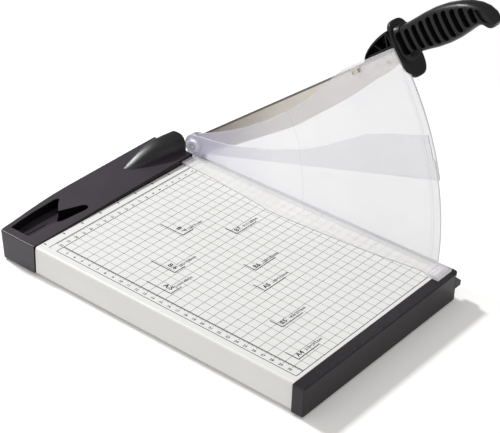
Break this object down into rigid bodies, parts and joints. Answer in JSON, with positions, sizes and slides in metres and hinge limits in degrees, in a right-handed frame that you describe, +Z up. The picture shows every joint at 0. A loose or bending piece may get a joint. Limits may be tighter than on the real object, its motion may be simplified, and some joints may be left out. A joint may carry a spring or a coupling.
{
  "type": "guillotine paper cutter",
  "caption": "Desk guillotine paper cutter: sheet-metal table in moulded end covers, pivoting knife arm with ribbed grip and finger guard, clear fan guards and a clear paper clamp.",
  "frame": {"origin": "Centre of the part's bounding box in plan, on the ground under the feet.", "axes": "+X runs along the cutting edge from the pivot to the handle end, +Y runs across the table away from the user towards the cutting edge, +Z is up. Drawn with the knife arm raised to its stop."},
  "size_m": [0.382, 0.2732, 0.2981],
  "materials": {
    "white_paint": "satin white powder paint",
    "cover_black": "fine-grained black moulded plastic",
    "grip_black": "semi-gloss black moulded plastic",
    "blade_steel": "ground blade steel",
    "zinc_steel": "zinc-plated steel",
    "brass": "plain brass",
    "rubber": "black rubber",
    "clear_plastic": "clear moulded plastic"
  },
  "bodies": {
    "base": {"table_top": "white_paint", "pivot_end_cover": "cover_black", "handle_end_cover": "cover_black", "counter_blade": "blade_steel", "counter_blade_screw_1": "zinc_steel", "counter_blade_screw_2": "zinc_steel", "counter_blade_screw_3": "zinc_steel", "counter_blade_screw_4": "zinc_steel", "cover_screw_1": "zinc_steel", "cover_screw_2": "zinc_steel", "cover_screw_3": "zinc_steel", "cover_screw_4": "zinc_steel", "foot_1": "rubber", "foot_2": "rubber", "foot_3": "rubber", "foot_4": "rubber", "pivot_bracket": "zinc_steel", "bracket_screw_1": "zinc_steel", "bracket_screw_2": "zinc_steel", "pivot_bolt": "zinc_steel", "hub_cap": "clear_plastic", "guard_washer": "zinc_steel", "blade_washer": "zinc_steel", "thrust_washer": "brass", "spring_washer": "blade_steel", "pivot_nut": "zinc_steel", "clamp_spring_1": "blade_steel", "clamp_spring_2": "blade_steel"},
    "knife_arm": {"moving_blade": "blade_steel", "pivot_bush": "brass", "handle": "grip_black", "handle_screw_1": "zinc_steel", "handle_screw_2": "zinc_steel"},
    "upper_guard_body": {"upper_guard": "clear_plastic", "guard_catch": "blade_steel"},
    "lower_guard_body": {"lower_guard": "clear_plastic"},
    "clamp_body": {"paper_clamp": "clear_plastic", "clamp_clip_1": "zinc_steel", "clamp_clip_2": "zinc_steel"},
    "latch_body": {"blade_latch": "grip_black"}
  },
  "joints": [
    {"name": "blade_swing", "type": "hinge", "parent": "base", "child": "knife_arm", "pos_m": [-0.1385, 0.10435, 0.0453], "axis": [0, 1, 0], "range_deg": [0, 39]},
    {"name": "upper_guard_swing", "type": "hinge", "parent": "base", "child": "upper_guard_body", "pos_m": [-0.1385, 0.10435, 0.0453], "axis": [0, 1, 0], "range_deg": [0, 16.03]},
    {"name": "lower_guard_swing", "type": "hinge", "parent": "base", "child": "lower_guard_body", "pos_m": [-0.1385, 0.10435, 0.0453], "axis": [0, 1, 0], "range_deg": [-8, 0]},
    {"name": "clamp_press", "type": "slide", "parent": "base", "child": "clamp_body", "axis": [0, 0, 1], "range_m": [-0.0011, 0], "stiffness_N_per_m": 900, "springref_m": 0.002, "deforming": ["clamp_spring_1", "clamp_spring_2"]},
    {"name": "latch_slide", "type": "slide", "parent": "base", "child": "latch_body", "axis": [-1, 0, 0], "range_m": [0, 0.0052]}
  ],
  "couplings": [
    {"joint": "upper_guard_swing", "follows": "blade_swing", "ratio": 0.41}
  ]
}
